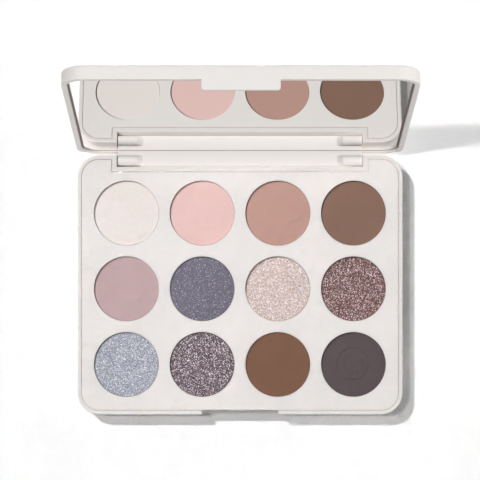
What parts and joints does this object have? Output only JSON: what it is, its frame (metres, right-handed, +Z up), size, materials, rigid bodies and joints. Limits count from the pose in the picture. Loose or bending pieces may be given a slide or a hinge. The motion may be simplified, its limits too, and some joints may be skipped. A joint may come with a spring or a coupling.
{
  "type": "eyeshadow palette",
  "caption": "Flat rounded eyeshadow palette with round pressed-powder pans in a flush tray and a mirror lid standing open on a full-width rear hinge.",
  "frame": {"origin": "middle of the base's flat underside", "axes": "+X to the right-hand side of a person facing the pans, +Y towards the hinge, +Z up"},
  "size_m": [0.1322, 0.1346, 0.1064],
  "materials": {
    "shell_plastic": "satin off-white moulded plastic",
    "tray_plastic": "satin off-white moulded plastic",
    "mirror_glass": "back-silvered flat glass",
    "mirror_adhesive": "double-sided adhesive tape",
    "hinge_steel": "drawn steel",
    "pan_tin": "pressed thin metal",
    "pan_glue": "set hot-melt glue",
    "label_paper": "blank coated paper",
    "powder_ivory": "matte pressed powder",
    "powder_blush": "matte pressed powder",
    "powder_tan": "matte pressed powder",
    "powder_cocoa": "matte pressed powder",
    "powder_mauve": "matte pressed powder",
    "powder_slate": "fine shimmer pressed powder",
    "powder_champagne": "glitter pressed powder",
    "powder_rose_bronze": "glitter pressed powder",
    "powder_silver_blue": "glitter pressed powder",
    "powder_gunmetal": "glitter pressed powder",
    "powder_chestnut": "matte pressed powder",
    "powder_aubergine": "matte pressed powder"
  },
  "bodies": {
    "base": {"base_shell": "shell_plastic", "pan_tray": "tray_plastic", "pan_glue": "pan_glue", "hinge_pin_left": "hinge_steel", "hinge_pin_right": "hinge_steel", "bottom_label": "label_paper", "pan_ivory": "pan_tin", "powder_ivory": "powder_ivory", "pan_blush": "pan_tin", "powder_blush": "powder_blush", "pan_tan": "pan_tin", "powder_tan": "powder_tan", "pan_cocoa": "pan_tin", "powder_cocoa": "powder_cocoa", "pan_mauve": "pan_tin", "powder_mauve": "powder_mauve", "pan_slate": "pan_tin", "powder_slate": "powder_slate", "pan_champagne": "pan_tin", "powder_champagne": "powder_champagne", "pan_rose_bronze": "pan_tin", "powder_rose_bronze": "powder_rose_bronze", "pan_silver_blue": "pan_tin", "powder_silver_blue": "powder_silver_blue", "pan_gunmetal": "pan_tin", "powder_gunmetal": "powder_gunmetal", "pan_chestnut": "pan_tin", "powder_chestnut": "powder_chestnut", "pan_aubergine": "pan_tin", "powder_aubergine": "powder_aubergine"},
    "lid": {"lid_shell": "shell_plastic", "mirror_backing": "tray_plastic", "mirror_glue": "mirror_adhesive", "mirror": "mirror_glass"}
  },
  "joints": [
    {"name": "lid_hinge", "type": "hinge", "parent": "base", "child": "lid", "pos_m": [0, 0.0506, 0.0056], "axis": [1, 0, 0], "range_deg": [0, 102.9]}
  ]
}
